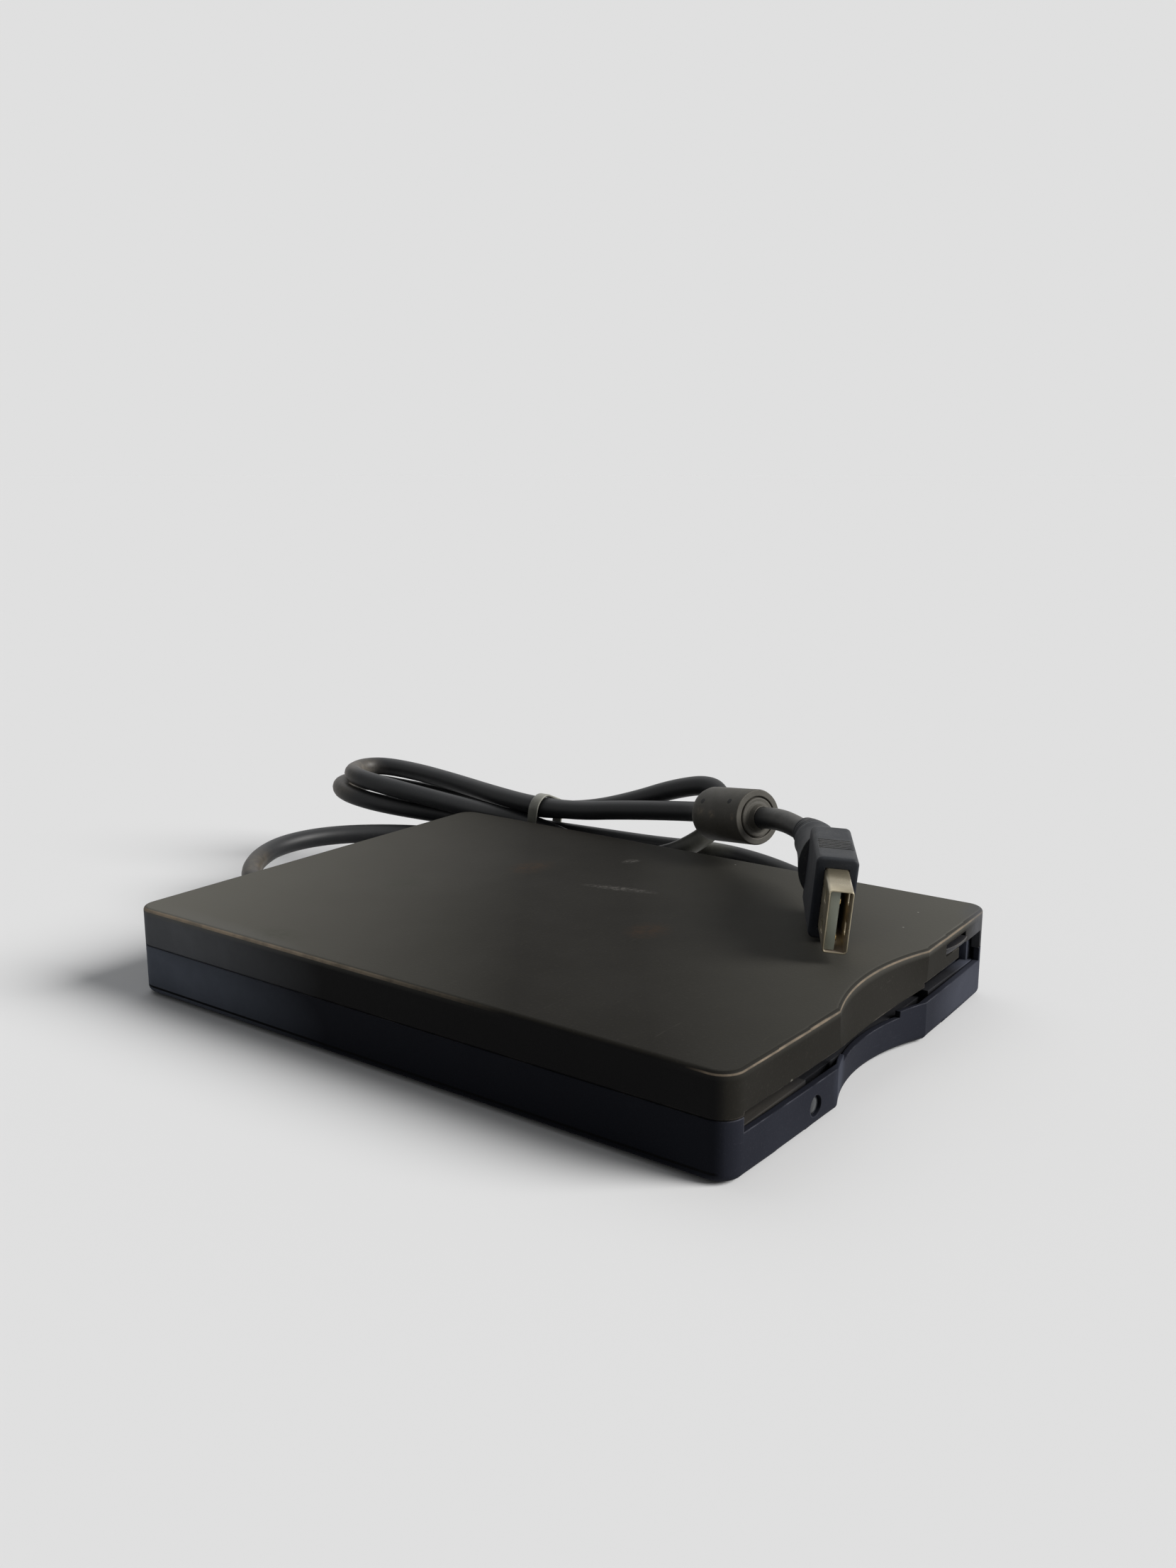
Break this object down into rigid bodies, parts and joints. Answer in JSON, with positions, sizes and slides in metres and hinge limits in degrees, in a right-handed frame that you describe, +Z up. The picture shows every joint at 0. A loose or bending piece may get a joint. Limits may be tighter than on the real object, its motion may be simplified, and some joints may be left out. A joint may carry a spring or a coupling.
{
  "type": "external floppy disk drive",
  "caption": "Slim external disk drive with a front slot, eject button, scooped front edge and a captive lead tied in a hank.",
  "frame": {"origin": "middle of the case's footprint, on the surface that it stands on", "axes": "+Z up, +Y to the rear where the lead leaves, -Y to the slot and the eject button"},
  "size_m": [0.1377, 0.1872, 0.0369],
  "materials": {
    "top_shell": "fine-textured black moulding, lightly worn at the edges",
    "bottom_shell": "fine-textured black moulding",
    "front_trim": "smooth black moulding",
    "dust_door": "smooth black moulding",
    "light_window": "smoky clear moulding",
    "led_resin": "water-clear resin",
    "foot_rubber": "matt black rubber",
    "zinc_sheet": "zinc-plated sheet steel",
    "screw_steel": "blackened steel",
    "ground_steel": "ground steel",
    "carriage_resin": "glass-filled black moulding",
    "head_ceramic": "polished ceramic",
    "bearing_bronze": "sintered bronze",
    "coil_copper": "enamelled copper wire",
    "core_iron": "bare laminated or sintered iron",
    "board_green": "green solder mask",
    "chip_black": "black epoxy",
    "can_metal": "drawn can",
    "header_white": "natural nylon",
    "flat_cable_film": "pale film over copper",
    "wire_sleeve": "coloured wire sleeves",
    "lead_jacket": "soft black PVC jacket",
    "ferrite_jacket": "dull black moulding with scuffs",
    "tie_film": "pale grey plastic band",
    "plug_rubber": "dull black soft moulding",
    "plug_plate": "nickel-plated steel",
    "tongue_plastic": "white nylon",
    "contact_gold": "gold-plated spring strip"
  },
  "bodies": {
    "root": {"top_cover": "top_shell", "bottom_cover": "bottom_shell", "case_screws": "screw_steel", "mechanism_screws": "screw_steel", "rubber_feet": "foot_rubber", "slot_bezel": "front_trim", "indicator_lens": "light_window", "indicator_led": "led_resin", "drive_chassis": "zinc_sheet", "drive_top_plate": "zinc_sheet", "lever_circlip": "ground_steel", "motor_board": "board_green", "spindle_bearing": "bearing_bronze", "stator_core": "core_iron", "stator_coils": "coil_copper", "guide_rail": "ground_steel", "rail_clamps": "carriage_resin", "screw_bearing": "bearing_bronze", "stepper_bracket": "zinc_sheet", "stepper_motor": "can_metal", "control_board": "board_green", "control_chip": "chip_black", "usb_board": "board_green", "usb_chip": "chip_black", "clock_crystal": "can_metal", "capacitors": "can_metal", "lead_header": "header_white", "flat_cable": "flat_cable_film", "cable_gland": "plug_rubber", "lead_wires": "wire_sleeve", "cord_lead": "lead_jacket", "cord_tail": "lead_jacket", "cable_tie": "tie_film", "ferrite_sleeve": "ferrite_jacket", "ferrite_core": "core_iron", "plug_strain_relief": "plug_rubber", "plug_overmold": "plug_rubber", "plug_shell": "plug_plate", "plug_tongue": "tongue_plastic", "plug_contacts": "contact_gold"},
    "eject": {"eject_button": "front_trim", "eject_slider": "zinc_sheet"},
    "carrier": {"disk_carrier": "zinc_sheet"},
    "lever": {"eject_lever": "zinc_sheet"},
    "carriage": {"head_carriage": "carriage_resin", "lower_head": "head_ceramic", "arm_pin": "ground_steel"},
    "upper_arm": {"head_arm": "carriage_resin", "upper_head": "head_ceramic"},
    "screw": {"lead_screw": "ground_steel"},
    "rotor": {"spindle_rotor": "zinc_sheet", "rotor_magnet": "core_iron", "spindle_hub": "zinc_sheet", "spindle_shaft": "ground_steel", "drive_pin": "ground_steel"},
    "door": {"slot_door": "dust_door"}
  },
  "joints": [
    {"name": "eject_slide", "type": "slide", "parent": "root", "child": "eject", "axis": [0, -1, 0], "range_m": [0, 0.005]},
    {"name": "carrier_drop", "type": "slide", "parent": "root", "child": "carrier", "axis": [0, 0, -1], "range_m": [0, 0.0022]},
    {"name": "lever_swing", "type": "hinge", "parent": "root", "child": "lever", "pos_m": [-0.036, 0.03, 0.0127], "axis": [0, 0, 1], "range_deg": [0, 60.1]},
    {"name": "head_travel", "type": "slide", "parent": "root", "child": "carriage", "axis": [0, -1, 0], "range_m": [0, 0.0148]},
    {"name": "arm_lift", "type": "hinge", "parent": "carriage", "child": "upper_arm", "pos_m": [0, 0.044, 0.011], "axis": [1, 0, 0], "range_deg": [0, 9.31]},
    {"name": "screw_turn", "type": "hinge", "parent": "root", "child": "screw", "pos_m": [0.019, 0.038, 0.0079], "axis": [0, 1, 0], "range_deg": [0, 1777]},
    {"name": "spindle_spin", "type": "hinge", "parent": "root", "child": "rotor", "pos_m": [0, -0.0215, 0.0045], "axis": [0, 0, 1], "continuous": true},
    {"name": "door_swing", "type": "hinge", "parent": "root", "child": "door", "pos_m": [0, -0.0655, 0.0126], "axis": [1, 0, 0], "range_deg": [0, 83], "stiffness_Nm_per_rad": 0.0004, "springref_deg": -17.19}
  ],
  "couplings": [
    {"joint": "carrier_drop", "follows": "eject_slide", "ratio": 0.44},
    {"joint": "lever_swing", "follows": "eject_slide", "rad_per_m": 209.44},
    {"joint": "arm_lift", "follows": "eject_slide", "rad_per_m": 32.46},
    {"joint": "screw_turn", "follows": "head_travel", "rad_per_m": 2094.4}
  ]
}
